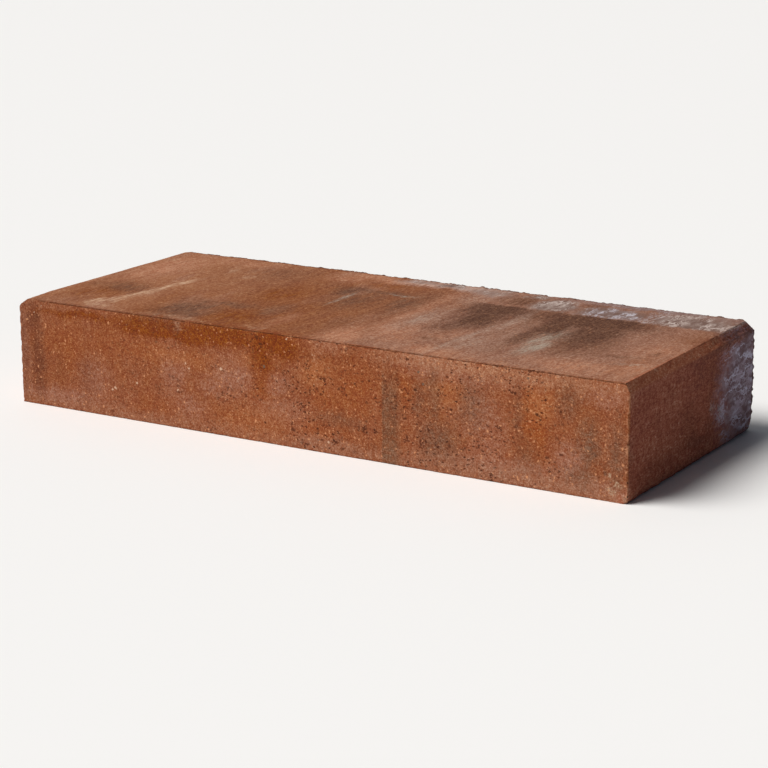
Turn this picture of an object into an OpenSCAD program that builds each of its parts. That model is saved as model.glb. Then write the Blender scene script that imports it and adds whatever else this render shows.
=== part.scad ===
// Solid concrete step block, pressed in a mould and laid as one whole step.
// It lies as it is used: tread up, riser face towards -Y, length along X.
// The origin is in the middle of the underside.
// The mould forms the riser, tread and end faces. The rear face stands on a
// board while the concrete is green, so its arrises are blunt and break off.
// The tread's front left corner and the foot of the right end are worn.

/* [Block] */
// Length of the step, from end face to end face
block_l = 1000; // [500:50:1500]
// Depth of the step over all, from riser face to rear face
block_d = 410; // [300:10:500]
// Rise of the step, from underside to tread
block_h = 160; // [120:5:200]

/* [End chamfers] */
// How far each end chamfer runs in along the tread
chamfer_run = 12; // [4:1:20]
// How far each end chamfer drops down the end face
chamfer_drop = 13; // [4:1:24]
// Radius that softens the corner where the chamfer meets the end face
chamfer_round = 10; // [2:1:14]

/* [Moulded arrises] */
// Radius on the two upright corners of the riser
upright_r = 1; // [0.5:0.5:6]
// Radius along the bottom of the riser and of both end faces
foot_r = 1; // [0.5:0.5:5]

/* [Broken arrises] */
// Radius that blunts every arris of the rear face
rear_r = 1.5; // [1:0.5:6]
// Deepest flake off a rear arris, square to the break
flake_bite = 2.5; // [1:0.5:8]
// Length of the longest flake along its arris
flake_l = 36; // [15:1:60]
// Spacing of the flakes along the rear arrises
flake_pitch = 22; // [20:1:80]
// Bite out of each rear top corner, square to the break
top_corner_bite = 10; // [2:0.5:14]
// Bite out of each rear foot corner, square to the break
foot_corner_bite = 8; // [2:0.5:14]

/* [Wear] */
// How far the worn front left corner runs in along the tread, at the riser
worn_run = 17; // [12:1:24]
// Slope of that corner's wear below the tread
worn_slope = 33; // [30:1:50]
// Length over which it runs out towards the rear
worn_l = 55; // [20:5:120]
// Deepest wear along the foot of the right end, at the rear
worn_foot_bite = 2.5; // [0.5:0.5:6]
// Length over which it runs out towards the riser
worn_foot_l = 200; // [50:10:250]

/* [Hidden] */
concrete = [0.62, 0.36, 0.26];
half_l = block_l / 2;
half_d = block_d / 2;
// Each rounded arris is a run of this many flats
arc_steps = 6;
// A corner breaks off over this length at most
corner_l = 60;
// An arris breaks off half way between its two faces, and the rear foot
// corners break off more steeply
break_slope = 45;
foot_corner_slope = 70;
// Shallowest flake and shortest flake, as shares of the largest
least_bite = 0.3;
least_l = 0.3;
// Flakes off the upright arrises are shallower by this share
upright_share = 0.6;
// A flake sits off its even spacing by up to this share of the pitch
flake_drift = 0.35;
// A break leans by up to this angle, so that it runs out towards one end
flake_lean = 5;
// Every arris has its own seed, so that the breaks differ and stay put
rear_top_seed = 11;
rear_foot_seed = 23;
rear_right_seed = 37;
rear_left_seed = 41;
right_foot_seed = 53;
left_foot_seed = 67;

// Points on an arc about (cx, cy), from angle a0 to angle a1
function arc(cx, cy, r, a0, a1) =
    [for (i = [0:arc_steps])
        let (a = a0 + (a1 - a0) * i / arc_steps)
        [cx + r * cos(a), cy + r * sin(a)]];

// Slope of the chamfer above the horizontal, and the rounding under it:
// the arc is tangent to the chamfer and to the upright end face
chamfer_angle = atan2(chamfer_drop, chamfer_run);
tangent_len = chamfer_round * tan((90 - chamfer_angle) / 2);
round_z = block_h - chamfer_drop - tangent_len;

// Right half of the section along the length: foot radius, end face,
// rounded lower corner of the chamfer, and its sharp upper corner
function half_elevation() = concat(
    arc(half_l - foot_r, foot_r, foot_r, -90, 0),
    arc(half_l - chamfer_round, round_z, chamfer_round, 0, 90 - chamfer_angle),
    [[half_l - chamfer_run, block_h]]);

// The same points on the left, in the order that closes the outline
function mirrored(points) =
    [for (i = [len(points) - 1:-1:0]) [-points[i][0], points[i][1]]];

// Section along the length, drawn out over the whole depth
module long_section() {
    translate([0, half_d, 0])
        rotate([90, 0, 0])
            linear_extrude(height = block_d)
                polygon(concat(half_elevation(), mirrored(half_elevation())));
}

// Outline from above: moulded corners at the riser, blunt ones at the rear
module plan_outline() {
    right = concat(
        arc(half_l - upright_r, upright_r - half_d, upright_r, -90, 0),
        arc(half_l - rear_r, half_d - rear_r, rear_r, 0, 90));
    linear_extrude(height = block_h)
        polygon(concat(right, mirrored(right)));
}

// Section across the step: the riser's foot is rounded and its top is sharp,
// and both rear arrises are blunt
module cross_section() {
    foot = arc(foot_r - half_d, foot_r, foot_r, 180, 270);
    rear_foot = arc(half_d - rear_r, rear_r, rear_r, -90, 0);
    rear_top = arc(half_d - rear_r, block_h - rear_r, rear_r, 0, 90);
    translate([-half_l, 0, 0])
        rotate([90, 0, 90])
            linear_extrude(height = block_l)
                polygon(concat([[-half_d, block_h]], foot, rear_foot, rear_top));
}

// The block as it leaves the mould
module moulded_block() {
    intersection() {
        long_section();
        plan_outline();
        cross_section();
    }
}

// Cutter for one flat break across an arris that runs along X, with the block
// behind and below it. The bite is measured square to the break, and the
// cutter is wide enough to reach both faces at any slope and lean used here.
module flake(length, bite, lean, slope = break_slope) {
    width = 8 * bite + length / 4;
    rotate([-slope, 0, 0])
        rotate([0, lean, 0])
            translate([-length / 2, -width / 2, -bite])
                cube([length, width, width]);
}

// Flakes strung along a stretch of such an arris
module flakes(stretch, seed, share = 1) {
    count = ceil(stretch / flake_pitch);
    drifts = rands(-flake_drift, flake_drift, count, seed);
    bites = rands(least_bite * flake_bite, flake_bite, count, seed + 1);
    lengths = rands(least_l * flake_l, flake_l, count, seed + 2);
    leans = rands(-flake_lean, flake_lean, count, seed + 3);
    for (i = [0:count - 1])
        translate([((i + 0.5 + drifts[i]) / count - 0.5) * stretch, 0, 0])
            flake(lengths[i], share * bites[i], leans[i]);
}

// Breaks along the four arrises of the rear face
module rear_breaks() {
    translate([0, half_d, block_h])
        flakes(block_l, rear_top_seed);
    translate([0, half_d, 0])
        rotate([-90, 0, 0])
            flakes(block_l, rear_foot_seed);
    translate([half_l, half_d, block_h / 2])
        rotate([0, 90, 0])
            flakes(block_h, rear_right_seed, upright_share);
    translate([-half_l, half_d, block_h / 2])
        rotate([0, -90, 0])
            flakes(block_h, rear_left_seed, upright_share);
}

// Breaks along the rear half of each end's foot
module end_foot_breaks() {
    translate([half_l, half_d / 2, 0])
        rotate([-90, 0, -90])
            flakes(half_d, right_foot_seed);
    translate([-half_l, half_d / 2, 0])
        rotate([-90, 0, 90])
            flakes(half_d, left_foot_seed);
}

// All four corners of the rear face are knocked off
module corner_breaks() {
    for (side = [-1, 1]) {
        translate([side * half_l, half_d, block_h])
            rotate([0, 0, -45 * side])
                flake(corner_l, top_corner_bite, 0);
        translate([side * half_l, half_d, 0])
            mirror([0, 0, 1])
                rotate([0, 0, -45 * side])
                    flake(corner_l, foot_corner_bite, 0, foot_corner_slope);
    }
}

// The worn corner starts inside the chamfer's upper crease at the riser and
// leans back until it meets that crease
module worn_corner() {
    depth = worn_run * sin(worn_slope);
    crease_depth = chamfer_run * sin(worn_slope);
    lean = max(0, atan2(depth - crease_depth, worn_l));
    translate([-half_l, -half_d, block_h])
        rotate([0, 0, 90])
            flake(2 * worn_l, depth, -lean, worn_slope);
}

// Wear along the foot of the right end, deepest at the rear
module worn_foot() {
    translate([half_l, half_d, 0])
        rotate([-90, 0, -90])
            flake(2 * worn_foot_l, worn_foot_bite, -atan2(worn_foot_bite, worn_foot_l));
}

// The whole step, as one solid casting
module step_block() {
    color(concrete)
        difference() {
            moulded_block();
            rear_breaks();
            end_foot_breaks();
            corner_breaks();
            worn_corner();
            worn_foot();
        }
}

step_block();
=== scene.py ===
"""Looks of the concrete step block: a pressed concrete step with a gritty riser, a finer tread,
chamfered ends, crumbly rear arrises, mottled red-brown colour and lime bloom at its rear right."""

import functools
import itertools
import math

import bpy
import numpy as np
from mathutils import Matrix, Vector
from mathutils.bvhtree import BVHTree


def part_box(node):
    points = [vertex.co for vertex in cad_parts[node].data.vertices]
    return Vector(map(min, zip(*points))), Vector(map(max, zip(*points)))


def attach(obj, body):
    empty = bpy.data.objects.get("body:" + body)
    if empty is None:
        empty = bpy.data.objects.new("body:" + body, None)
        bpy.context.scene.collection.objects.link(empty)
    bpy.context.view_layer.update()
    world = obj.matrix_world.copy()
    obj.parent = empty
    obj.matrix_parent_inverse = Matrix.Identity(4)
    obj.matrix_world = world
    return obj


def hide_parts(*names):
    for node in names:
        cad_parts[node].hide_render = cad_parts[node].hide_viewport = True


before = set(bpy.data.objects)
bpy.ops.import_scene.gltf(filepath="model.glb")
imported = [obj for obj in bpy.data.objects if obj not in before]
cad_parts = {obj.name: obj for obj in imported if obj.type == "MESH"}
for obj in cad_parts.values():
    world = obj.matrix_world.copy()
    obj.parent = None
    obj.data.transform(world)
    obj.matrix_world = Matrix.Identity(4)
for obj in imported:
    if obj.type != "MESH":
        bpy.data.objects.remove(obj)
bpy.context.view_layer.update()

MM = 0.001
BLOCK = "step_block"
low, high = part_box(BLOCK)
LEFT, RIGHT = low.x, high.x
FRONT, REAR = low.y, high.y
FOOT, TOP = low.z, high.z
LENGTH_MM = (RIGHT - LEFT) / MM
DEPTH_MM = (REAR - FRONT) / MM
HEIGHT_MM = (TOP - FOOT) / MM

# ---------------------------------------------------------------- seeded noise for the relief

# Moves the noise by whole cells
LATTICE_SHIFT = 64.0


def lattice_values(ix, iy, iz, seed):
    """One repeatable random number from 0 to 1 for each lattice point."""
    # The large numbers only scramble the bits
    h = ix * 73856093 ^ iy * 19349663 ^ iz * 83492791 ^ (seed * 2654435 + 97)
    h = (h ^ (h >> 13)) * 1274126177 & 0x7FFFFFFF
    h = (h ^ (h >> 16)) * 668265263 & 0x7FFFFFFF
    return (h & 0xFFFFFF) / float(0xFFFFFF)


def smooth_noise(points, cell, seed):
    """Noise from -1 to 1 whose bumps are about one cell wide."""
    p = points / cell + LATTICE_SHIFT
    i = np.floor(p).astype(np.int64)
    f = p - i
    f = f * f * f * (f * (f * 6 - 15) + 10)
    total = np.zeros(len(points))
    for corner in itertools.product((0, 1), repeat=3):
        weight = np.prod(np.where(corner, f, 1 - f), axis=1)
        total += weight * lattice_values(*(i + corner).T, seed)
    return total * 2 - 1


def rough_noise(points, cell, seed, octaves=3, fade=0.5):
    """Smooth noise with finer, weaker noise on top."""
    total = np.zeros(len(points))
    strength = 1.0
    for octave in range(octaves):
        total += strength * smooth_noise(points, cell / 2**octave, seed + octave)
        strength *= fade
    return total


def hollows(points, cell, chance, radius, seed):
    """Round hollows scattered one per cell: 0 outside them, up to 1 in their middles. Radius is
    the largest one's, and the smallest is just under half of it."""
    i = np.floor(points / cell).astype(np.int64)
    depth = np.zeros(len(points))
    for neighbour in itertools.product((-1, 0, 1), repeat=3):
        j = i + neighbour
        spot = np.stack([lattice_values(*j.T, seed + k) for k in range(3)], 1)
        pick = lattice_values(*j.T, seed + 3)
        size = radius * (0.45 + 0.55 * lattice_values(*j.T, seed + 4))
        distance = np.linalg.norm(points - (j + spot) * cell, axis=1)
        hollow = np.clip(1 - (distance / size) ** 2, 0, 1)
        depth = np.maximum(depth, np.where(pick < chance, hollow, 0))
    return depth


def ramp(value, start, end):
    """0 before start, 1 after end, and smooth between them."""
    t = np.clip((value - start) / (end - start), 0, 1)
    return t * t * (3 - 2 * t)


def bump(value, middle, width):
    """1 at the middle, and next to nothing two widths away from it."""
    return np.exp(-(((value - middle) / width) ** 2))


# ---------------------------------------------------------------- relief

# How far things stand out of the CAD solid, or go into it
WAVES = 0.25 * MM
RISER_GRIT, RISER_PORES = 0.2 * MM, 1.7 * MM
PRESSED_GRAIN, PRESSED_PITS = 0.08 * MM, 0.5 * MM
REAR_ROUGHNESS, REAR_BARREL, REAR_BOW = 0.7 * MM, 1.2 * MM, 2.2 * MM
RIM_BOW = 0.9 * MM
LINE_DEPTH = 0.6 * MM
LARGE_NICKS, SMALL_NICKS = 0.9 * MM, 0.7 * MM
FOOT_WEAR, FOOT_WEAR_CHANGE = 2.0 * MM, 0.8 * MM

# The rear face bows out over a stretch left of its middle
BOW_MIDDLE, BOW_WIDTH = LEFT + 330 * MM, 240 * MM

# The rear arrises crumble this far in from the rear face and from the other face
RIM = 9 * MM

# Knobs that stand up from the rear top arris: (along, half width, height) in millimetres
REAR_KNOBS = [(300, 8, 0.8), (560, 4, 2.2), (452, 10, 0.9), (842, 6, 0.8)]

# A shadow line runs this far below the riser's top arris
LINE_DROP, LINE_WIDTH = 1.4 * MM, 1.1 * MM

# It fades in between these distances from the left end, where the arris is worn
LINE_START_MM, LINE_FULL_MM = 24, 50

# Every noise has its own seed, so that they differ and stay put
WAVE_SEED, GRIT_SEED, OPEN_SEED, PORE_SEED, GRAIN_SEED, PIT_SEED = 11, 21, 31, 41, 51, 61
REAR_SEED, CRUMB_SEED, LINE_SEED, LARGE_NICK_SEED, SMALL_NICK_SEED, WEAR_SEED = 71, 81, 91, 95, 97, 99


def facing(component):
    """1 where a normal points along an axis, 0 where it leans more than 60 degrees off it."""
    return ramp(component, 0.5, 0.9)


def riser_relief(p):
    """Tamped, open and gritty, and more open in patches away from the left end."""
    grit = RISER_GRIT * rough_noise(p, 8 * MM, GRIT_SEED, 2, 0.7)
    open_patches = ramp(smooth_noise(p, 45 * MM, OPEN_SEED), -0.35, 0.5)
    openness = 0.35 + 0.65 * open_patches * ramp(p[:, 0], LEFT + 100 * MM, LEFT + 500 * MM)
    return grit - openness * RISER_PORES * hollows(p, 7.5 * MM, 0.34, 2.6 * MM, PORE_SEED)


def pressed_relief(p):
    """The tread and the ends were pressed against the mould, so they are much finer."""
    grain = PRESSED_GRAIN * rough_noise(p, 8 * MM, GRAIN_SEED)
    return grain - PRESSED_PITS * hollows(p, 22 * MM, 0.12, 2.2 * MM, PIT_SEED)


def rear_relief(p, bow):
    """Rough from the board, a little barrelled, and bowed out."""
    from_middle = (p[:, 2] - (TOP + FOOT) / 2) / ((TOP - FOOT) / 2)
    roughness = REAR_ROUGHNESS * rough_noise(p, 10 * MM, REAR_SEED)
    return roughness + REAR_BARREL * (1 - from_middle**2) + REAR_BOW * bow


def rear_rim_relief(p, n, bow):
    """Crumbs stand proud of the rear arrises, most of all at the right, and are missing between."""
    x = p[:, 0]
    from_top, from_rear = TOP - p[:, 2], REAR - p[:, 1]
    from_end = np.minimum(x - LEFT, RIGHT - x)
    rim = ramp(-from_rear, -RIM, 0) * ramp(-np.minimum(from_top, from_end), -RIM, -1 * MM)
    crumbly = 0.3 + 0.5 * ramp(x, LEFT + 150 * MM, LEFT + 400 * MM)
    crumbly += 0.7 * ramp(x, RIGHT - 10 * MM, RIGHT)
    crumbs = crumbly * MM * rough_noise(p, 5.5 * MM, CRUMB_SEED, 2, 0.6)
    knobs = sum(
        height * MM * bump(x, LEFT + along * MM, half_width * MM)
        for along, half_width, height in REAR_KNOBS
    )
    return rim * (crumbs + RIM_BOW * bow + knobs * (n[:, 2] > 0))


def shadow_line(p):
    """How deep the thin groove is that runs along the riser just under its top arris."""
    depth = LINE_DEPTH * (0.6 + 0.6 * smooth_noise(p, 25 * MM, LINE_SEED)).clip(0, 1)
    line = bump(p[:, 2], TOP - LINE_DROP, LINE_WIDTH)
    return depth * line * ramp(p[:, 0], LEFT + LINE_START_MM * MM, LEFT + LINE_FULL_MM * MM)


def nicks(p, n):
    """How deep the small nicks in the moulded arrises are."""
    arris = ramp(1 - np.abs(n).max(axis=1), 0.03, 0.2)
    large = LARGE_NICKS * ramp(smooth_noise(p, 9 * MM, LARGE_NICK_SEED), 0.25, 0.9)
    small = SMALL_NICKS * ramp(smooth_noise(p, 4 * MM, SMALL_NICK_SEED), 0.1, 0.8)
    return arris * (large + small)


def foot_wear(p):
    """How far the foot of the right end is worn back."""
    low_down = ramp(-p[:, 2], -FOOT - 7 * MM, -FOOT - 0.5 * MM)
    at_right = ramp(p[:, 0], RIGHT - 7 * MM, RIGHT - 1 * MM)
    return low_down * at_right * (FOOT_WEAR + FOOT_WEAR_CHANGE * smooth_noise(p, 12 * MM, WEAR_SEED))


def relief(p, n):
    """How far each point of the surface, with its normal, stands out of the CAD solid."""
    front, rear = facing(-n[:, 1]), facing(n[:, 1])
    top, under = facing(n[:, 2]), facing(-n[:, 2])
    ends = facing(np.abs(n[:, 0]))
    bow = bump(p[:, 0], BOW_MIDDLE, BOW_WIDTH)
    out = WAVES * smooth_noise(p, 60 * MM, WAVE_SEED) * (1 - under)
    out += front * (riser_relief(p) - shadow_line(p))
    out += (top + ends) * pressed_relief(p)
    out += rear * rear_relief(p, bow)
    out += (1 - under) * rear_rim_relief(p, n, bow)
    return out - nicks(p, n) - foot_wear(p)


# ---------------------------------------------------------------- mesh of the block

QUICK_CELL, FULL_CELL = 4.0 * MM, 1.7 * MM

# From riser to rear it is this many times coarser, but for a border at each
COARSER = 1.9
LENGTH_BORDER, DEPTH_BORDER, HEIGHT_BORDER = 12 * MM, 16 * MM, 12 * MM

# The most triangles in the finished mesh
TRIANGLES = 195000

# The right end's chamfer: how far it runs in at the riser and at the rear, and how far it drops
CHAMFER_RUNS = (6 * MM, 12 * MM)
CHAMFER_DROP = 11.5 * MM

# The CAD's own chamfer is measured over this zone under the tread, at so many heights
CHAMFER_ZONE, CHAMFER_HEIGHTS = (30 * MM, 0.1 * MM), 60

# The move of the chamfer fades out over this much of the tread, and over this stretch in front of
# the rear face
TREAD_FADE, REAR_FADE = 40 * MM, (15 * MM, 45 * MM)

# Edges sharper than this stay crisp
SHARP_DEGREES = 32


def grid_lines(start, end, fine, coarse, border):
    """Positions from start to end, fine near both ends and coarse between."""
    count = max(2, round((end - start - 2 * border) / coarse))
    middle = np.linspace(start + border, end - border, count)
    rim = np.linspace(0, border, round(border / fine), endpoint=False)
    return np.concatenate([start + rim, middle, (end - rim)[::-1]])


def box_grid(xs, ys, zs):
    """Points and quads of a closed box whose six sides share these grid lines."""
    index, points, quads = {}, [], []

    def vertex(corner):
        if corner not in index:
            index[corner] = len(points)
            i, j, k = corner
            points.append((xs[i], ys[j], zs[k]))
        return index[corner]

    def quad(*corners):
        quads.append([vertex(corner) for corner in corners])

    nx, ny, nz = len(xs) - 1, len(ys) - 1, len(zs) - 1
    for i in range(nx):
        for j in range(ny):
            quad((i, j, nz), (i + 1, j, nz), (i + 1, j + 1, nz), (i, j + 1, nz))
            quad((i, j, 0), (i, j + 1, 0), (i + 1, j + 1, 0), (i + 1, j, 0))
        for k in range(nz):
            quad((i, 0, k), (i + 1, 0, k), (i + 1, 0, k + 1), (i, 0, k + 1))
            quad((i, ny, k), (i, ny, k + 1), (i + 1, ny, k + 1), (i + 1, ny, k))
    for j in range(ny):
        for k in range(nz):
            quad((0, j, k), (0, j, k + 1), (0, j + 1, k + 1), (0, j + 1, k))
            quad((nx, j, k), (nx, j + 1, k), (nx, j + 1, k + 1), (nx, j, k + 1))
    return np.array(points), np.array(quads)


def cad_surface():
    """The CAD solid, ready to find the nearest point of it or where a ray meets it."""
    return BVHTree.FromObject(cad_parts[BLOCK], bpy.context.evaluated_depsgraph_get())


def onto_cad(points):
    """The nearest point of the CAD solid to each point."""
    solid = cad_surface()
    return np.array([solid.find_nearest(Vector(p))[0] for p in points])


def point_normals(points, quads):
    """Outward unit normal at each point, averaged over the quads around it."""
    a, b, c, d = (points[quads[:, k]] for k in range(4))
    face = np.cross(c - a, d - b)
    normals = np.zeros_like(points)
    for k in range(4):
        np.add.at(normals, quads[:, k], face)
    return normals / np.maximum(np.linalg.norm(normals, axis=1), 1e-12)[:, None]


def steepen_chamfer(points):
    """Moves the right end's chamfer out to the steep, crisp one that this block has."""
    x, y, z = points.T
    solid = cad_surface()
    heights = np.linspace(*(TOP - below for below in CHAMFER_ZONE), CHAMFER_HEIGHTS)
    starts = [Vector((RIGHT + 100 * MM, 0, height)) for height in heights]
    cad = [solid.ray_cast(start, Vector((-1, 0, 0)))[0].x for start in starts]
    run = np.interp(y, (FRONT, REAR), CHAMFER_RUNS)
    wanted = RIGHT - run * np.clip((z - TOP + CHAMFER_DROP) / CHAMFER_DROP, 0, 1)
    shift = wanted - np.interp(z, heights, cad)
    # The shift fades out along the tread and towards the broken rear corner
    nearness = ramp(x, RIGHT - TREAD_FADE, cad[-1]) * ramp(REAR - y, *REAR_FADE)
    points[:, 0] += shift * nearness * (z > heights[0])
    return points


def block_mesh():
    """The whole block as one closed mesh: the CAD solid's surface with its relief."""
    fine = FULL_CELL
    xs = grid_lines(LEFT, RIGHT, fine, fine, LENGTH_BORDER)
    ys = grid_lines(FRONT, REAR, fine, COARSER * fine, DEPTH_BORDER)
    zs = grid_lines(FOOT, TOP, fine, fine, HEIGHT_BORDER)
    points, quads = box_grid(xs, ys, zs)
    points = steepen_chamfer(onto_cad(points))
    normals = point_normals(points, quads)
    points = points + normals * relief(points, normals)[:, None]
    points[:, 2] = points[:, 2].clip(FOOT, None)
    mesh = bpy.data.meshes.new("step_block_surface")
    mesh.from_pydata(points.tolist(), [], quads.tolist())
    mesh.validate()
    piece = bpy.data.objects.new("step_block_surface", mesh)
    bpy.context.scene.collection.objects.link(piece)
    return piece


def thin_out(piece, triangles):
    """Merges triangles where the surface is flattest, down to this many."""
    now = sum(len(polygon.vertices) - 2 for polygon in piece.data.polygons)
    if now <= triangles:
        return
    decimate = piece.modifiers.new("thin_out", "DECIMATE")
    decimate.ratio = triangles / now
    graph = bpy.context.evaluated_depsgraph_get()
    thinned = bpy.data.meshes.new_from_object(piece.evaluated_get(graph))
    piece.modifiers.clear()
    piece.data = thinned


# ---------------------------------------------------------------- shader nodes


class Graph:
    """Adds shader nodes with short calls, which return output sockets."""

    def __init__(self, name):
        self.material = bpy.data.materials.new(name)
        self.material.use_nodes = True
        self.tree = self.material.node_tree
        self.tree.nodes.clear()

    def node(self, kind, inputs, **settings):
        """The node itself, with these settings, and its inputs linked to sockets or set to values."""
        node = self.tree.nodes.new(kind)
        for name, value in settings.items():
            setattr(node, name, value)
        for key, value in inputs.items():
            if isinstance(value, bpy.types.NodeSocket):
                self.tree.links.new(value, node.inputs[key])
            else:
                node.inputs[key].default_value = value
        return node

    def math(self, operation, *values):
        return self.node("ShaderNodeMath", dict(enumerate(values)), operation=operation).outputs[0]

    def plus(self, a, b):
        return self.math("ADD", a, b)

    def minus(self, a, b):
        return self.math("SUBTRACT", a, b)

    def times(self, *values):
        return functools.reduce(lambda a, b: self.math("MULTIPLY", a, b), values)

    def most(self, values):
        """The greatest of these values. They may come from a generator, so that each one's nodes
        are added just before it is used: Cycles keeps only so many values at a time."""
        return functools.reduce(lambda a, b: self.math("MAXIMUM", a, b), values)

    def vector_math(self, operation, a, b, output="Vector"):
        return self.node("ShaderNodeVectorMath", {0: a, 1: b}, operation=operation).outputs[output]

    def gamma(self, colour, exponent):
        return self.node("ShaderNodeGamma", {0: colour, 1: exponent}).outputs[0]

    def blend(self, amount, a, b):
        return self.node("ShaderNodeMix", {0: amount, 6: a, 7: b}, data_type="RGBA").outputs[2]

    def paint(self, colour, amount, tint):
        """The colour with this much of a tint over it."""
        return self.blend(amount, colour, to_linear(*tint))

    def spread(self, value, start, end, to_start=0.0, to_end=1.0):
        """A value from start to end as one from to_start to to_end, smooth between them."""
        # Clamped, each of these would be held until the end, and Cycles can't hold them all
        inputs = {0: value, 1: start, 2: end, 3: to_start, 4: to_end}
        node = self.node("ShaderNodeMapRange", inputs, interpolation_type="SMOOTHSTEP", clamp=False)
        return node.outputs[0]

    def noise(self, coords, size, detail, roughness, output=0):
        inputs = {"Vector": coords, "Scale": 1 / size, "Detail": detail, "Roughness": roughness}
        return self.node("ShaderNodeTexNoise", inputs).outputs[output]

    def shaken(self, coords, source, size, detail, roughness, reach):
        """Coordinates moved all ways by the noise at source, by up to half this reach."""
        colour = self.noise(source, size, detail, roughness, "Color")
        centred = self.vector_math("SUBTRACT", colour, (0.5, 0.5, 0.5))
        return self.vector_math("ADD", coords, self.vector_math("MULTIPLY", centred, reach))

    def grains(self, coords, size):
        """Grains of about this size: each one's random value from 0 to 1, and the distance from
        its middle as a share of the size."""
        node = self.node("ShaderNodeTexVoronoi", {"Vector": coords, "Scale": 1 / size})
        value = self.node("ShaderNodeSeparateColor", {0: node.outputs["Color"]}).outputs[0]
        return value, node.outputs["Distance"]

    def spots(self, coords, size, chance, radius):
        """Round spots of this radius in a share of the grains, faint to full, and 0 outside them."""
        pick, distance = self.grains(coords, size)
        inside = self.spread(distance, radius / size, 0.55 * radius / size)
        return self.times(inside, self.spread(pick, chance, 0.35 * chance))

    def ball(self, coords, middle, turn, halves):
        """An ellipsoid: 1 in its middle, falling to 0 at these half sizes."""
        node = self.node("ShaderNodeTexGradient", {0: coords}, gradient_type="SPHERICAL")
        node.texture_mapping.vector_type = "TEXTURE"
        node.texture_mapping.translation = middle
        node.texture_mapping.rotation = turn
        node.texture_mapping.scale = halves
        return node.outputs[1]


def to_linear(red, green, blue):
    """A colour given as 0 to 255 per channel, as a linear colour with alpha."""
    shares = [c / 255 for c in (red, green, blue)]
    return (*[c / 12.92 if c <= 0.04045 else ((c + 0.055) / 1.055) ** 2.4 for c in shares], 1.0)


# ---------------------------------------------------------------- colours

# Every colour is red, green and blue from 0 to 255
RISER_COLOURS = (145, 79, 42), (146, 83, 51)
TREAD_LEFT, TREAD_MIDDLE, TREAD_RIGHT = (152, 97, 64), (138, 81, 46), (144, 100, 79)
TREAD_PALE_CLOUDS, TREAD_DARK_CLOUDS = (156, 110, 88), (132, 80, 52)
END_COLOUR = (132, 69, 49)
# Painted light on the right end's chamfer, which tilts up into the light
PAINTED_CHAMFER_LIGHT_COLOUR = (172, 104, 72)
BAND_COLOUR = (112, 80, 58)
SAND_COLOUR = (216, 150, 106)
# The pore colours are painted shade in the hollows of pores and cracks
PORE_SHADE_COLOUR = (70, 27, 7)
PALE_STONE_COLOUR, DARK_STONE_COLOUR, OPEN_PORE_SHADE_COLOUR = (214, 178, 150), (110, 90, 74), (70, 28, 8)
# Painted shadow under the riser's top arris
ARRIS_SHADOW_COLOUR = (70, 34, 16)
# The nick colour is painted shade in the nicks of the riser's right arris
CRUMB_COLOUR, NICK_SHADE_COLOUR = (206, 146, 108), (58, 28, 16)
# Partly dirt and partly painted shade along the crumbs of the rear arrises
RIM_DIRT_AND_SHADE_COLOUR = (76, 48, 40)

# Lime bloom is warm on the tread but for a cool stretch in its middle, and coldest on the right
# end
BLOOM_GROUND_TREAD, BLOOM_GROUND_END = (114, 87, 77), (100, 75, 80)
HAZE_WARM, HAZE_COOL, HAZE_END = (156, 135, 126), (150, 134, 133), (146, 130, 144)
VEIN_WARM, VEIN_COOL, VEIN_END = (206, 188, 180), (199, 192, 200), (190, 186, 208)

# Clouds on the faces that the photo doesn't show: (noise where they start, noise where they are
# full, colour)
HIDDEN_CLOUDS = [
    (0.52, 0.62, (158, 106, 82)),
    (0.46, 0.38, (122, 62, 30)),
    (0.36, 0.28, (112, 80, 60)),
]

# ---------------------------------------------------------------- where the stains lie

# A stain is an ellipse on one face: (middle along, middle across, half width, half height, tilt
# in degrees, strength). Along and across are in millimetres from the left front bottom corner:
# X and Z on the riser and the rear, X and Y on the tread, Y and Z on the right end. Each group
# has its face, its colour and how broken up it is, from 0 for even to 1 for specks only.
RISER, TREAD, RIGHT_END, REAR_FACE = "riser", "tread", "right end", "rear"

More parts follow.
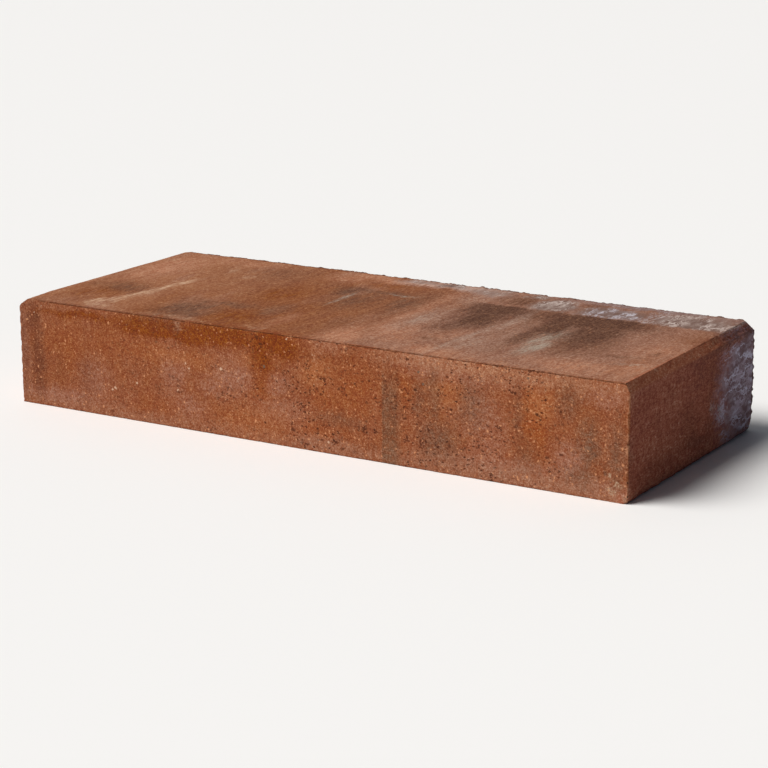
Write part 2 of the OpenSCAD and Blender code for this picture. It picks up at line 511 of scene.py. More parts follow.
STAINS = [
    # The riser: orange brown, with lilac clouds, grey bands and a rust band under its arris
    (RISER, (149, 77, 34), 0.4, [
        (85, 88, 46, 46, 0, 0.6),
        (205, 108, 90, 22, 0, 0.7),
        (300, 25, 90, 14, 0, 0.3),
        (436, 84, 26, 34, 0, 1.1),
        (590, 100, 46, 44, 0, 0.9),
        (540, 80, 40, 24, 0, 0.8),
        (524, 30, 30, 20, 0, 0.7),
        (670, 110, 28, 30, 0, 0.9),
        (862, 80, 26, 52, 0, 1.6),
    ]),
    (RISER, (160, 107, 84), 0.6, [
        (70, 20, 90, 14, 0, 1.0),
        (140, 54, 34, 36, 0, 0.7),
        (285, 84, 26, 40, 0, 0.7),
        (310, 34, 34, 20, 0, 0.8),
        (385, 94, 38, 30, 0, 1.1),
        (350, 70, 30, 20, 0, 0.7),
        (460, 50, 50, 22, 0, 0.8),
        (462, 84, 24, 18, 0, 0.8),
        (800, 50, 30, 20, 0, 0.6),
        (740, 140, 90, 16, 0, 0.8),
        (785, 90, 40, 40, 0, 0.7),
        (820, 22, 90, 18, 0, 0.9),
        (916, 44, 26, 26, 0, 1.2),
        (950, 16, 60, 14, 0, 0.8),
        (966, 140, 40, 16, 0, 0.7),
    ]),
    (RISER, (156, 106, 80), 0.5, [
        (200, 6, 260, 14, 0, 0.6),
        (520, 10, 300, 14, 0, 0.8),
        (850, 10, 260, 20, 0, 0.9),
        (806, 18, 40, 14, 0, 0.6),
    ]),
    (RISER, (114, 60, 34), 0.4, [
        (34, 70, 14, 66, 0, 1.1),
        (26, 136, 15, 28, 0, 1.3),
        (8, 148, 20, 14, 0, 0.7),
        (70, 60, 20, 40, 0, 0.4),
        (125, 54, 22, 40, 0, 0.45),
    ]),
    (RISER, (116, 82, 62), 0.5, [
        (690, 96, 14, 30, 0, 0.6),
        (770, 100, 26, 34, 0, 0.6),
        (714, 112, 14, 46, 0, 0.8),
        (722, 46, 34, 34, 0, 0.8),
        (915, 126, 24, 30, 0, 0.6),
        (944, 70, 20, 40, 0, 0.9),
        (934, 30, 24, 20, 0, 0.7),
        (985, 60, 14, 50, 0, 0.7),
        (842, 90, 8, 60, 0, 0.5),
        (856, 44, 20, 26, 0, 0.5),
        (566, 52, 40, 10, 0, 0.5),
    ]),
    (RISER, (132, 82, 60), 0.2, [
        (6, 84, 14, 90, 0, 0.9),
    ]),
    (RISER, (131, 60, 8), 0.3, [
        (120, 146, 100, 8, 0, 1.2),
        (300, 143, 130, 15, 0, 2.2),
        (405, 147, 90, 14, 0, 2.2),
        (434, 122, 22, 26, 0, 1.6),
        (472, 140, 40, 16, 0, 1.4),
        (550, 142, 60, 12, 0, 0.4),
        (432, 84, 12, 26, 0, 0.5),
    ]),
    (RISER, (196, 146, 112), 0.9, [
        (524, 126, 3, 18, 0, 1.0),
        (530, 102, 4, 12, -10, 0.8),
    ]),
    (RISER, (164, 96, 54), 0.4, [
        (525, 112, 30, 26, 0, 1.1),
        (735, 112, 26, 26, 0, 0.9),
        (872, 118, 22, 30, 0, 1.2),
        (300, 106, 90, 14, 0, 0.8),
        (408, 114, 24, 14, 0, 0.6),
        (425, 30, 70, 34, 0, 0.7),
    ]),
    (RISER, (170, 114, 82), 0.5, [
        (874, 148, 26, 12, 0, 0.6),
        (810, 150, 190, 11, 0, 1.0),
        (650, 150, 60, 10, 0, 0.6),
        (60, 154, 50, 5, 0, 0.3),
    ]),
    (RISER, (188, 158, 130), 0.9, [
        (987, 26, 4, 5, 0, 1.2),
        (979, 14, 5, 4, 0, 1.0),
        (996, 8, 3, 5, 0, 1.2),
        (972, 36, 3, 3, 0, 0.7),
    ]),
    # The tread: salmon at the left, rusty brown in the middle, grey pink at the right
    (TREAD, (178, 122, 92), 0.5, [
        (60, 290, 52, 110, 0, 1.0),
        (140, 378, 110, 30, 0, 0.5),
        (12, 200, 14, 220, 0, 0.5),
        (360, 362, 40, 30, 0, 0.9),
        (420, 70, 16, 60, 0, 0.7),
        (620, 70, 40, 50, 0, 0.6),
        (545, 46, 36, 56, 0, 1.1),
        (557, 210, 12, 190, 0, 0.6),
        (590, 110, 40, 60, 0, 0.9),
        (660, 120, 40, 40, 0, 0.5),
        (960, 170, 40, 60, 0, 0.5),
        (905, 46, 80, 40, 0, 0.8),
        (970, 60, 30, 60, 0, 0.7),
        (700, 26, 60, 34, 0, 0.9),
        (590, 310, 20, 70, 0, 0.5),
        (390, 384, 60, 26, 0, 1.2),
    ]),
    (TREAD, (128, 65, 14), 0.5, [
        (350, 60, 60, 66, 0, 1.1),
        (326, 215, 44, 70, 0, 1.0),
        (395, 150, 40, 90, 0, 0.8),
        (420, 56, 30, 56, 0, 0.5),
        (225, 40, 40, 50, 0, 0.9),
        (205, 120, 30, 70, 0, 0.6),
        (75, 90, 50, 80, 0, 0.9),
        (975, 262, 30, 50, 0, 0.5),
        (420, 350, 40, 24, 0, 0.7),
    ]),
    (TREAD, (112, 72, 50), 0.6, [
        (90, 142, 60, 34, 0, 0.8),
        (262, 62, 48, 60, 0, 1.5),
        (236, 78, 20, 30, 0, 0.6),
        (285, 122, 70, 16, 0, 0.9),
        (378, 126, 18, 40, 0, 1.0),
        (400, 282, 24, 40, 0, 1.0),
        (450, 302, 76, 16, 0, 1.0),
        (440, 240, 50, 70, 0, 0.8),
        (520, 250, 30, 76, 0, 1.0),
        (240, 340, 56, 50, 0, 0.5),
        (500, 110, 26, 60, 0, 0.4),
        (800, 180, 70, 50, 0, 0.5),
        (850, 150, 50, 60, 0, 1.1),
        (852, 112, 18, 18, 20, 0.9),
        (925, 122, 30, 8, 10, 0.7),
        (960, 152, 9, 12, 0, 0.7),
        (655, 84, 16, 12, 0, 0.6),
        (725, 270, 24, 60, 0, 0.8),
        (985, 280, 26, 50, 0, 0.4),
        (762, 112, 16, 50, 0, 0.6),
        (660, 356, 36, 30, 0, 1.2),
        (768, 376, 24, 36, 0, 0.8),
        (126, 112, 10, 9, 0, 0.5),
    ]),
    (TREAD, (192, 156, 140), 0.6, [
        (480, 390, 40, 22, 0, 1.5),
        (540, 392, 40, 20, 0, 1.8),
        (590, 386, 30, 26, 0, 1.4),
    ]),
    (TREAD, (140, 111, 106), 0.5, [
        (850, 398, 160, 14, 0, 1.2),
    ]),
    (TREAD, (158, 124, 106), 0.6, [
        (588, 180, 26, 80, 0, 0.9),
        (696, 120, 9, 100, 0, 1.2),
        (716, 100, 22, 60, 0, 0.8),
        (708, 230, 12, 80, 3, 1.2),
        (735, 170, 20, 80, 0, 0.5),
        (735, 90, 30, 60, 0, 0.4),
        (590, 330, 30, 40, 0, 0.7),
    ]),
    (TREAD, (196, 156, 126), 0.8, [
        (152, 208, 8, 36, -4, 0.9),
        (148, 160, 8, 34, -4, 1.1),
        (142, 112, 8, 30, -8, 1.0),
        (128, 76, 10, 30, -16, 1.2),
        (112, 44, 12, 26, -16, 1.1),
        (138, 60, 5, 50, -10, 0.8),
        (126, 20, 22, 9, 0, 0.7),
        (415, 18, 24, 9, 0, 0.4),
        (280, 12, 60, 8, 0, 0.4),
        (216, 290, 9, 14, 0, 0.5),
        (30, 348, 10, 6, 0, 0.6),
        (165, 322, 10, 22, 30, 0.4),
    ]),
    (TREAD, (156, 136, 120), 0.8, [
        (794, 180, 20, 66, 0, 1.2),
        (802, 110, 16, 50, 0, 1.1),
        (417, 240, 5, 44, 4, 1.0),
        (487, 295, 24, 5, 0, 0.9),
        (952, 84, 26, 7, 24, 0.5),
    ]),
    # The right end: brown, dark along the bottom, paler under its top arris, and with painted light
    # along its very foot
    (RIGHT_END, (116, 58, 38), 0.6, [
        (190, 50, 34, 40, 0, 1.0),
        (84, 92, 14, 8, 20, 0.4),
        (240, 130, 34, 26, 0, 0.9),
        (268, 116, 26, 46, 0, 1.2),
        (134, 112, 20, 20, 0, 0.5),
    ]),
    (RIGHT_END, (106, 58, 44), 0.6, [
        (235, 22, 60, 18, 0, 0.5),
        (262, 44, 26, 12, 0, 0.6),
    ]),
    (RIGHT_END, (92, 49, 38), 0.5, [
        (335, 150, 70, 12, 0, 1.2),
        (392, 140, 34, 26, 0, 1.4),
    ]),
    # Painted light: a pale band along the foot of the right end offsets the shade that the floor casts
    # there
    (RIGHT_END, (174, 101, 76), 0.3, [
        (120, 2, 160, 20, 0, 1.1),
        (300, 4, 120, 16, 0, 0.9),
    ]),
    (RIGHT_END, (160, 98, 74), 0.6, [
        (110, 50, 80, 40, 0, 0.4),
        (120, 108, 60, 30, 0, 0.4),
        (310, 20, 50, 10, 0, 0.5),
    ]),
    (RIGHT_END, (140, 130, 130), 0.7, [
        (266, 68, 9, 9, 0, 0.6),
        (294, 56, 22, 3, -38, 0.9),
    ]),
]

# Where another block or a batten once lay, the tread is darkest up to a straight line across it,
# and the lime bloom starts behind that line
BATTEN_LINE_MM = 317
BATTEN_COLOUR = (93, 58, 40)
BATTEN_STAINS = [
    (TREAD, (656, 290, 58, 60, 0, 1.5)),
    (TREAD, (658, 225, 38, 76, 0, 1.4)),
    (TREAD, (646, 165, 26, 50, 0, 0.8)),
    (TREAD, (812, 290, 92, 52, 0, 1.8)),
    (TREAD, (772, 240, 30, 66, 0, 1.4)),
    (TREAD, (764, 165, 17, 50, 0, 1.0)),
    (TREAD, (840, 225, 44, 76, 0, 1.4)),
    (TREAD, (400, 296, 26, 34, 0, 0.4)),
]

# Single pale stones in the riser: (along, up, radius)
PALE_STONES = [
    (366, 98, 2.8),
    (310, 91, 2.2),
    (304, 98, 1.7),
    (290, 57, 1.8),
    (176, 45, 3.0),
    (216, 57, 2.4),
    (546, 17, 2.2),
    (478, 155, 2.0),
    (42, 152, 1.6),
    (171, 42, 1.8),
    (28, 141, 1.5),
]

# Single dark stones in the riser, and its largest open pores: (along, up, radius)
DARK_STONES = [
    (440, 111, 2.8),
    (690, 135, 2.6),
    (697, 120, 2.8),
    (855, 149, 2.2),
]
OPEN_PORES = [
    (836, 126, 2.8),
    (833, 134, 2.0),
    (685, 110, 3.2),
    (612, 113, 2.2),
    (588, 131, 2.0),
    (754, 57, 2.4),
    (734, 45, 2.4),
    (440, 30, 2.6),
    (575, 88, 2.2),
    (538, 88, 2.2),
]

# Lime bloom lies thickest round the rear right corner and comes back in patches along the rear
BLOOM_STAINS = [
    (TREAD, (522, 392, 30, 14, 0, 1.0)),
    (TREAD, (466, 396, 40, 12, 0, 0.6)),
    (TREAD, (590, 384, 40, 24, 0, 0.7)),
    (TREAD, (668, 388, 20, 12, 0, 0.9)),
    (TREAD, (712, 348, 29, 36, 0, 1.8)),
    (TREAD, (810, 343, 54, 32, 0, 1.6)),
    (TREAD, (936, 350, 76, 54, 0, 1.3)),
    (TREAD, (885, 393, 130, 13, 0, 0.4)),
    (RIGHT_END, (372, 78, 75, 86, 0, 2.0)),
    (RIGHT_END, (292, 54, 24, 20, 0, 0.4)),
    (REAR_FACE, (900, 90, 130, 80, 0, 1.1)),
    (REAR_FACE, (560, 110, 90, 50, 0, 0.7)),
    (REAR_FACE, (250, 60, 70, 40, 0, 0.5)),
]

# A stain fades out towards its outline, so its ellipsoid reaches further than its half sizes,
# and it goes this deep into the block
STAIN_REACH = 1.55
STAIN_DEPTH_MM = 35


def ellipse_on(face, along, across, half_width, half_height, tilt):
    """Middle, turn and half sizes of a stain as an ellipsoid that is shallow across its face."""
    turn = math.radians(tilt)
    half_width, half_height = STAIN_REACH * half_width, STAIN_REACH * half_height
    if face == TREAD:
        return (along, across, HEIGHT_MM), (0, 0, turn), (half_width, half_height, STAIN_DEPTH_MM)
    if face == RIGHT_END:
        return (LENGTH_MM, along, across), (turn, 0, 0), (STAIN_DEPTH_MM, half_width, half_height)
    depth = 0 if face == RISER else DEPTH_MM
    return (along, depth, across), (0, -turn, 0), (half_width, STAIN_DEPTH_MM, half_height)


# ---------------------------------------------------------------- material

# Where things change along the block, in millimetres from its left end: (0 here, full here), and
# for the tread's colours and the pores (as before here, as after here)
TREAD_LEFT_TO_MIDDLE_MM, TREAD_MIDDLE_TO_RIGHT_MM = (150, 380), (470, 640)
BAND_IN_MM, BAND_OUT_MM = (631, 633.5), (668, 650)
MORE_PORES_MM, FEWER_PORES_MM = (120, 520), (900, 960)
COOL_BLOOM_IN_MM, COOL_BLOOM_OUT_MM = (730, 780), (900, 850)

# Veins of the lime bloom: (size of their curls in millimetres, width as a step of the noise)
VEINS = [(11, 0.06), (6, 0.05)]


# Noises that most layers share, coarsest to finest: size in millimetres
CLOUD_MM, MOTTLE_MM, SPECKLE_MM, STREAK_MM = 60, 16, 7, 8

# How far back the mottle moves the batten's line at most, both ways together
LINE_RAGGED_MM = 30

# Spots are strewn in grains: (size of a grain, share of the grains, radius), in millimetres
PORES = [(4.0, 0.75, 1.5), (10, 0.8, 2.4)]
SAND_STONES = [(6, 0.65, 1.6), (15, 0.8, 2.4)]
ARRIS_NICKS = (5, 0.7, 2.2)

# Sand counts this much beside the fine noise
SAND_SHARE = 0.34

# Dry concrete: roughness from and to, reflection, and a bump of this strength and height
ROUGHNESS = (0.84, 0.97)
REFLECTION = 0.25
BUMP_STRENGTH, BUMP_HEIGHT = 0.45, 0.6 * MM


class BlockGraph(Graph):
    """The block's material, with the values that the layers of its colour share."""

    def __init__(self, name):
        super().__init__(name)
        position = self.node("ShaderNodeTexCoord", {}).outputs["Object"]
        corner = self.vector_math("SUBTRACT", position, (LEFT, FRONT, FOOT))
        self.mm = self.vector_math("MULTIPLY", corner, (1 / MM, 1 / MM, 1 / MM))
        axes = self.node("ShaderNodeSeparateXYZ", {0: self.mm}).outputs
        self.along, self.back, self.up = axes["X"], axes["Y"], axes["Z"]
        drag = self.stretched(0.3)

        # Faces: 1 on each, fading out within a few millimetres of its arrises
        self.riser = self.spread(self.back, 7, 3)
        on_top = self.spread(self.up, HEIGHT_MM - 5, HEIGHT_MM - 2)
        self.tread = self.times(on_top, self.spread(self.back, 1, 4))
        at_right = self.spread(self.along, LENGTH_MM - 12, LENGTH_MM - 7)
        self.right_end = self.times(at_right, self.spread(self.back, 2, 5))
        self.hidden = self.minus(1.0, self.most((self.riser, self.tread, self.right_end)))

        # Wandering coordinates give the stains ragged outlines
        swayed = self.shaken(self.mm, drag, 38, 4, 0.65, (34, 56, 30))
        self.wandering = self.shaken(swayed, self.mm, 6, 3, 0.65, (16, 26, 16))

        # Noises, coarsest to finest, and streaks along the depth of the tread and up the end
        self.cloud = self.noise(drag, CLOUD_MM, 4, 0.6)
        self.mottle = self.noise(drag, MOTTLE_MM, 4, 0.65)
        self.speckle = self.noise(self.mm, SPECKLE_MM, 5, 0.75)
        self.tread_streaks = self.noise(self.stretched(0.16), STREAK_MM, 5, 0.7)
        upright = self.vector_math("MULTIPLY", self.mm, (1, 1, 0.35))
        self.end_streaks = self.noise(upright, STREAK_MM, 5, 0.7)

        # How far back, for a line across the tread that isn't quite straight
        ragged = self.times(self.minus(self.mottle, 0.5), LINE_RAGGED_MM)
        self.ragged_back = self.plus(self.back, ragged)

    def stretched(self, share):
        """Coordinates that draw a noise out along the depth of the block."""
        return self.vector_math("MULTIPLY", self.mm, (1, share, 1))

    def on(self, face, off_value, on_value):
        """One value on this face and another off it."""
        return self.spread(face, 0, 1, off_value, on_value)

    def stains(self, places):
        """Where any of these stains lies: their strength in their middles, 0 outside."""
        return self.most(
            self.spread(self.ball(self.wandering, *ellipse_on(face, *ellipse)), 0, 1, 0.0, strength)
            for face, (*ellipse, strength) in places
        )


def body_colour(g):
    """Clouds of ochre and pink, with colours of their own on the tread and the right end."""
    ochre, pink = RISER_COLOURS
    colour = g.blend(g.spread(g.cloud, 0.38, 0.62), to_linear(*ochre), to_linear(*pink))
    middle = g.spread(g.along, *TREAD_LEFT_TO_MIDDLE_MM)
    tread = g.blend(middle, to_linear(*TREAD_LEFT), to_linear(*TREAD_MIDDLE))
    tread = g.paint(tread, g.spread(g.along, *TREAD_MIDDLE_TO_RIGHT_MM), TREAD_RIGHT)
    tread = g.paint(tread, g.spread(g.cloud, 0.5, 0.68, 0.0, 0.5), TREAD_PALE_CLOUDS)
    tread = g.paint(tread, g.spread(g.cloud, 0.5, 0.34, 0.0, 0.5), TREAD_DARK_CLOUDS)
    colour = g.blend(g.tread, colour, tread)
    return g.paint(colour, g.right_end, END_COLOUR)


def stain_groups(g, colour):
    """Every group of stains, broken up by the texture of its face."""
    textures = {RISER: g.speckle, TREAD: g.tread_streaks, RIGHT_END: g.end_streaks}
    for face, tint, broken, ellipses in STAINS:
        mask = g.stains((face, ellipse) for ellipse in ellipses)
        body = g.spread(textures[face], 0.36, 0.64, 1 - broken, 1 + 0.3 * broken)
        colour = g.paint(colour, g.times(mask, body), tint)
    return colour


def hidden_clouds(g, colour):
    """The rear, the left end and the underside, which the photo doesn't show, have clouds only."""
    broad = g.noise(g.mm, 90, 5, 0.6)
    body = g.times(g.spread(g.speckle, 0.34, 0.6, 0.5, 1.0), g.hidden)
    for start, full, tint in HIDDEN_CLOUDS:
        colour = g.paint(colour, g.times(g.spread(broad, start, full, 0.0, 0.8), body), tint)
    return colour


def painted_chamfer_light(g, colour):
    """Painted light: the chamfer tilts up into the light, so it is painted paler than the end below it,
    as far back as the bloom.
    """
    chamfer = g.spread(g.up, HEIGHT_MM - 14, HEIGHT_MM - 11)
    chamfer = g.times(chamfer, g.spread(g.back, 340, 260, 0.0, 0.6))
    return g.paint(colour, g.times(chamfer, g.right_end), PAINTED_CHAMFER_LIGHT_COLOUR)


def grey_band(g, colour):
    """A grey band stands on the riser, sharp on its left."""
    band = g.times(g.spread(g.along, *BAND_IN_MM), g.spread(g.along, *BAND_OUT_MM))
    band = g.times(band, g.riser, g.spread(g.up, 150, 90, 0.0, 0.7))
    return g.paint(colour, g.times(band, g.spread(g.speckle, 0.36, 0.6, 0.45, 1.0)), BAND_COLOUR)


def batten_mark(g, colour):
    """The dark mark that the batten left, up to its line across the tread."""
    before_line = g.spread(g.ragged_back, BATTEN_LINE_MM + 5, BATTEN_LINE_MM - 6)
    batten = g.times(g.stains(BATTEN_STAINS), before_line)
    batten = g.times(batten, g.spread(g.tread_streaks, 0.36, 0.64, 0.7, 1.1))
    return g.paint(colour, batten, BATTEN_COLOUR)


def sand(g):
    """Fine noise and single grains of sand, drawn out a little along the drag."""
    strewn = g.shaken(g.stretched(0.45), g.mm, 2, 2, 0.6, (2, 2, 2))
    fine = g.noise(strewn, 2.2, 2, 0.7)
    grains, _ = g.grains(strewn, 1.7)
    return fine, grains


def grain(g, colour, fine, grains):
    """Grain, finest to coarsest: below 1 an exponent makes the colour paler and greyer, and above
    1 darker and richer."""
    sandy = g.minus(g.plus(g.times(grains, SAND_SHARE), fine), (1 + SAND_SHARE) / 2)
    sandy = g.times(sandy, g.on(g.tread, 1.05, 0.8), g.on(g.right_end, 1.0, 0.95))
    patchy = g.minus(g.plus(g.times(g.mottle, 0.4), g.times(g.speckle, 0.6)), 0.5)
    patchy = g.times(patchy, g.on(g.hidden, g.on(g.riser, 1.2, 0.95), 0.8))
    streaky = g.times(g.minus(g.end_streaks, 0.5), 0.6, g.right_end)
    total = g.plus(g.plus(sandy, patchy), streaky)
    return g.gamma(colour, g.minus(1.0, total))


def open_pores(g, crumbled, grit):
    """Where the surface is open: flat pores and short cracks, few at the riser's left end."""
    flat = g.vector_math("MULTIPLY", crumbled, (0.6, 0.6, 1))
    zone = g.spread(g.noise(g.mm, 60, 2, 0.5), 0.42, 0.6, 0.3, 1.0)
    zone = g.times(zone, g.spread(g.along, *MORE_PORES_MM, 0.4, 1.0))
    zone = g.times(zone, g.spread(g.along, *FEWER_PORES_MM, 1.0, 0.5))
    pores = g.most(g.spots(flat, *sizes) for sizes in PORES)
    ridge = g.math("ABSOLUTE", g.minus(g.noise(crumbled, 9, 1, 0.5), 0.5))
    here_and_there = g.spread(g.noise(g.mm, 13, 1, 0.5), 0.57, 0.64, 0.0, 0.9)
    cracks = g.times(g.spread(ridge, 0.042, 0.018), here_and_there)
    return g.times(g.most((pores, cracks)), zone, grit)


def stones(g, colour, crumbled, grit):
    """Pale sand and small stones."""
    pale = g.most(g.spots(crumbled, *sizes) for sizes in SAND_STONES)
    pale = g.times(pale, grit, g.on(g.right_end, 0.7, 0.3))
    return g.paint(colour, pale, SAND_COLOUR)


def single_spots(g, colour, crumbled):
    """The single stones and pores of the riser that stand out in the photo."""

    def spot(along, up, radius):
        reach = g.vector_math("DISTANCE", crumbled, (along, 0, up), output="Value")
        return g.spread(reach, radius, 0.4 * radius)

    # The stones have colours of their own; the open pores' dark colour is painted shade in their hollows
    for tint, places in (
        (PALE_STONE_COLOUR, PALE_STONES),
        (DARK_STONE_COLOUR, DARK_STONES),
        (OPEN_PORE_SHADE_COLOUR, OPEN_PORES),
    ):
        mask = g.most(spot(*place) for place in places)
        colour = g.paint(colour, g.times(mask, 0.85), tint)
    return colour


def painted_arris_shadow(g, colour):
    """A thin painted shadow runs along the riser just under its top arris, where the arris overhangs a
    little, but not at its worn end.
    """
    line = g.spread(g.up, HEIGHT_MM - 2.1, HEIGHT_MM - 1.4)
    line = g.times(line, g.spread(g.up, HEIGHT_MM + 0.2, HEIGHT_MM - 0.4))
    line = g.times(line, g.riser, g.spread(g.mottle, 0.35, 0.55, 0.2, 0.7))
    return g.paint(colour, g.times(line, g.spread(g.along, LINE_START_MM, LINE_FULL_MM)), ARRIS_SHADOW_COLOUR)


def worn_arris(g, colour):
    """The riser's right arris has lost its skin: pale crumbs, and low down dark nicks that are painted
    shade in their hollows.
    """
    arris = g.times(g.spread(g.along, LENGTH_MM - 5, LENGTH_MM - 1.5), g.spread(g.back, 5, 0.5))
    crumbs = g.spread(g.speckle, 0.45, 0.62, 0, 0.5)
    colour = g.paint(colour, g.times(arris, crumbs), CRUMB_COLOUR)
    dark = g.times(g.spots(g.mm, *ARRIS_NICKS), g.spread(g.up, 86, 66))
    return g.paint(colour, g.times(arris, dark), NICK_SHADE_COLOUR)


def bloom_cover(g):
    """How thickly the lime bloom lies: behind the batten's line, and faintly on the chamfer."""
    behind_line = g.spread(g.ragged_back, BATTEN_LINE_MM - 8, BATTEN_LINE_MM + 6)
    bloom = g.times(g.stains(BLOOM_STAINS), g.most((behind_line, g.right_end)))
    under_chamfer = g.spread(g.up, HEIGHT_MM - 15, HEIGHT_MM - 26, 0.25, 1.0)
    return g.times(bloom, g.most((under_chamfer, g.minus(1.0, g.right_end))))


def bloom_veins(g, wisps):
    """Two sizes of thin bright veins, where the bloom is dense."""
    dense = g.spread(g.noise(wisps, 20, 2, 0.5), 0.42, 0.6)
    strokes = g.shaken(g.stretched(0.22), g.mm, 16, 2, 0.6, (14, 14, 14))

    def vein(size, width):
        return g.spread(g.math("ABSOLUTE", g.minus(g.noise(strokes, size, 1, 0.4), 0.5)), width, 0.0)

    return g.times(g.most(vein(*sizes) for sizes in VEINS), dense)


def lime_bloom(g, colour):
    """Lime bloom: a thin haze with brighter veins that curl over the tread and ripple on the end."""
    bloom = bloom_cover(g)
    wisps = g.shaken(g.stretched(0.45), g.mm, 16, 2, 0.6, (16, 10, 16))
    ground = g.blend(g.right_end, to_linear(*BLOOM_GROUND_TREAD), to_linear(*BLOOM_GROUND_END))
    cover = g.times(bloom, g.on(g.right_end, 1.05, 0.75))
    colour = g.blend(g.math("MINIMUM", cover, 1.0), colour, ground)
    cool = g.times(g.spread(g.along, *COOL_BLOOM_IN_MM), g.spread(g.along, *COOL_BLOOM_OUT_MM))
    haze = g.spread(g.noise(wisps, 14, 4, 0.7), 0.4, 0.68, 0.0, 0.85)
    veins = g.times(bloom_veins(g, wisps), g.math("MINIMUM", bloom, 0.85))
    for amount, warm_tint, cool_tint, end_tint in (
        (g.times(haze, bloom), HAZE_WARM, HAZE_COOL, HAZE_END),
        (veins, VEIN_WARM, VEIN_COOL, VEIN_END),
    ):
        tint = g.blend(cool, to_linear(*warm_tint), to_linear(*cool_tint))
        colour = g.blend(amount, colour, g.paint(tint, g.right_end, end_tint))
    return colour


def rim_dirt_and_shade(g, colour):
    """Crumbs along the rear arrises are darker: partly dirt, and partly painted shade on their sides
    that face away from the light.
    """
    near_top = g.spread(g.up, HEIGHT_MM - 12, HEIGHT_MM - 3)
    rim = g.most((near_top, g.spread(g.along, LENGTH_MM - 14, LENGTH_MM - 6)))
    rim = g.times(rim, g.spread(g.back, DEPTH_MM - 8, DEPTH_MM - 3))
    return g.paint(colour, g.times(rim, g.spread(g.speckle, 0.62, 0.42, 0.2, 0.85)), RIM_DIRT_AND_SHADE_COLOUR)


def concrete():
    """Mottled red-brown concrete: stained, grainy and, at the rear right, bloomed with lime."""
    g = BlockGraph("coloured_concrete")
    colour = body_colour(g)
    for layer in (stain_groups, hidden_clouds, painted_chamfer_light, grey_band, batten_mark):
        colour = layer(g, colour)
    fine, grains = sand(g)
    colour = grain(g, colour, fine, grains)

    # Stones and open pores lie mostly on the rough faces, and their outlines are crumbled
    grit = g.on(g.most((g.riser, g.hidden)), 0.4, 1.0)
    crumbled = g.shaken(g.mm, g.mm, 3, 2, 0.6, (5, 5, 5))
    pores = open_pores(g, crumbled, grit)
    colour = stones(g, colour, crumbled, grit)
    # Pores and cracks are painted dark: painted shade in their hollows
    colour = g.paint(colour, g.times(pores, 0.9), PORE_SHADE_COLOUR)
    colour = single_spots(g, colour, crumbled)
    for layer in (painted_arris_shadow, worn_arris, lime_bloom, rim_dirt_and_shade):
        colour = layer(g, colour)

    height = g.minus(g.plus(fine, g.times(grains, 0.3)), pores)
    bump_inputs = {"Strength": BUMP_STRENGTH, "Distance": BUMP_HEIGHT, "Height": height}
    shader = g.node(
        "ShaderNodeBsdfPrincipled",
        {
            "Base Color": colour,
            "Roughness": g.spread(g.mottle, 0.3, 0.7, *ROUGHNESS),
            "Normal": g.node("ShaderNodeBump", bump_inputs).outputs[0],
            "Specular IOR Level": REFLECTION,
        },
    )
    g.node("ShaderNodeOutputMaterial", {"Surface": shader.outputs[0]})
    return g.material


# ---------------------------------------------------------------- floor, camera and light

# Half the floor's width, far wider than any view
FLOOR_REACH = 60
FLOOR_COLOUR = (0.9, 0.9, 0.9, 1)

CAMERA_AZIMUTH = 31.53
CAMERA_ELEVATION = 14.68
CAMERA_ROLL = -0.25
CAMERA_DISTANCE = 3.044
CAMERA_TARGET = Vector((0.1359, FRONT, 0.1117))
CAMERA_LENS_MM = 105.78
SENSOR_MM = 36

# The key light comes from this azimuth and elevation
KEY_FROM = (-49, 53)
KEY_STRENGTH = 3.4
KEY_SOFTNESS_DEGREES = 36
KEY_COLOUR = (1.0, 0.97, 0.93)

# The studio fades from the first colour to the second between these directions along X
STUDIO_BRIGHT, STUDIO_DIM = (0.37, 0.385, 0.4, 1), (0.025, 0.031, 0.042, 1)
STUDIO_FADE = (-0.6, 0.3)


def plain_floor():
    """A plain pale floor under the block."""
    mesh = bpy.data.meshes.new("floor")
    corners = [(x * FLOOR_REACH, y * FLOOR_REACH, FOOT) for x, y in ((-1, -1), (1, -1), (1, 1), (-1, 1))]
    mesh.from_pydata(corners, [], [(0, 1, 2, 3)])
    floor = bpy.data.objects.new("floor", mesh)
    bpy.context.scene.collection.objects.link(floor)
    g = Graph("floor_pale")
    shader = g.node("ShaderNodeBsdfPrincipled", {"Base Color": FLOOR_COLOUR, "Roughness": 0.9})
    g.node("ShaderNodeOutputMaterial", {"Surface": shader.outputs[0]})
    floor.data.materials.append(g.material)


def direction(azimuth, elevation):
    """Unit vector from the block towards a viewer or a light. Azimuth 0 is straight in front."""
    a, e = math.radians(azimuth), math.radians(elevation)
    return Vector((math.sin(a) * math.cos(e), -math.cos(a) * math.cos(e), math.sin(e)))


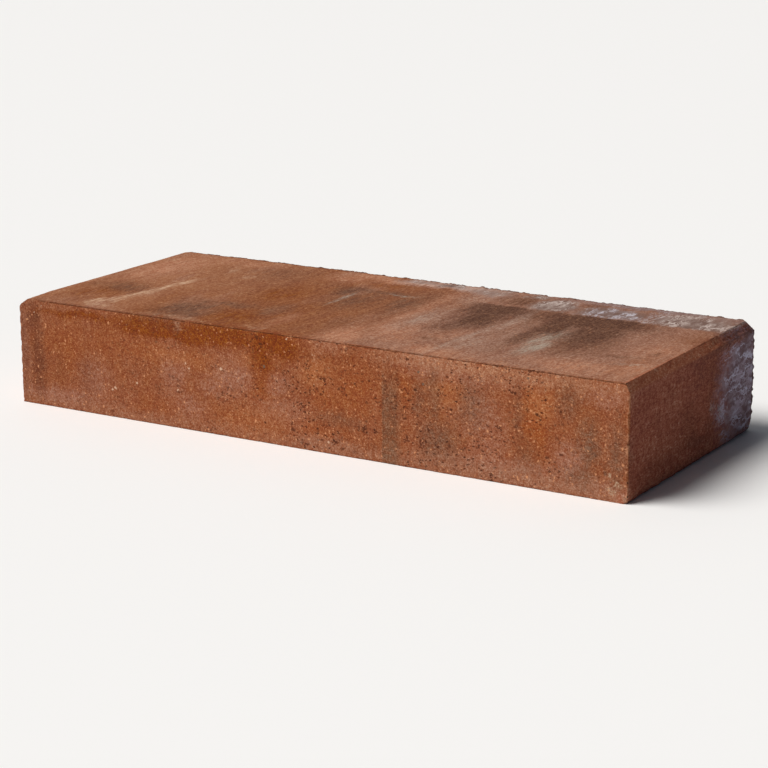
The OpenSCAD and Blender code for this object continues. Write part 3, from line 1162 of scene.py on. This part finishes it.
def add_camera():
    """The photo's camera, as fitted to the outline of the block."""
    data = bpy.data.cameras.new("camera")
    data.lens = CAMERA_LENS_MM
    data.sensor_width = SENSOR_MM
    camera = bpy.data.objects.new("camera", data)
    back = direction(CAMERA_AZIMUTH, CAMERA_ELEVATION)
    roll = Matrix.Rotation(math.radians(CAMERA_ROLL), 3, "Z").to_quaternion()
    camera.rotation_mode = "QUATERNION"
    camera.rotation_quaternion = back.to_track_quat("Z", "Y") @ roll
    camera.location = CAMERA_TARGET + back * CAMERA_DISTANCE
    bpy.context.scene.collection.objects.link(camera)
    bpy.context.scene.camera = camera


def add_key():
    """A wide soft light from the front left."""
    sun = bpy.data.lights.new("key", "SUN")
    sun.energy = KEY_STRENGTH
    sun.angle = math.radians(KEY_SOFTNESS_DEGREES)
    sun.color = KEY_COLOUR
    key = bpy.data.objects.new("key", sun)
    key.rotation_mode = "QUATERNION"
    key.rotation_quaternion = direction(*KEY_FROM).to_track_quat("Z", "Y")
    bpy.context.scene.collection.objects.link(key)


def add_studio():
    """A studio that is bright at the left and dim at the right."""
    world = bpy.data.worlds.new("studio")
    world.use_nodes = True
    tree = world.node_tree
    coords = tree.nodes.new("ShaderNodeTexCoord")
    axes = tree.nodes.new("ShaderNodeSeparateXYZ")
    fade = tree.nodes.new("ShaderNodeMapRange")
    fade.inputs["From Min"].default_value, fade.inputs["From Max"].default_value = STUDIO_FADE
    walls = tree.nodes.new("ShaderNodeMix")
    walls.data_type = "RGBA"
    walls.inputs[6].default_value, walls.inputs[7].default_value = STUDIO_BRIGHT, STUDIO_DIM
    tree.links.new(coords.outputs["Generated"], axes.inputs[0])
    tree.links.new(axes.outputs["X"], fade.inputs["Value"])
    tree.links.new(fade.outputs[0], walls.inputs[0])
    tree.links.new(walls.outputs[2], tree.nodes["Background"].inputs["Color"])
    bpy.context.scene.world = world
    bpy.context.scene.view_settings.view_transform = "Standard"


add_camera()
add_key()
add_studio()
plain_floor()
surface = block_mesh()
thin_out(surface, TRIANGLES)
surface.data.polygons.foreach_set("use_smooth", np.ones(len(surface.data.polygons), bool))
surface.data.set_sharp_from_angle(angle=math.radians(SHARP_DEGREES))
surface.data.materials.append(concrete())
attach(surface, "root")
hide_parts(BLOCK)
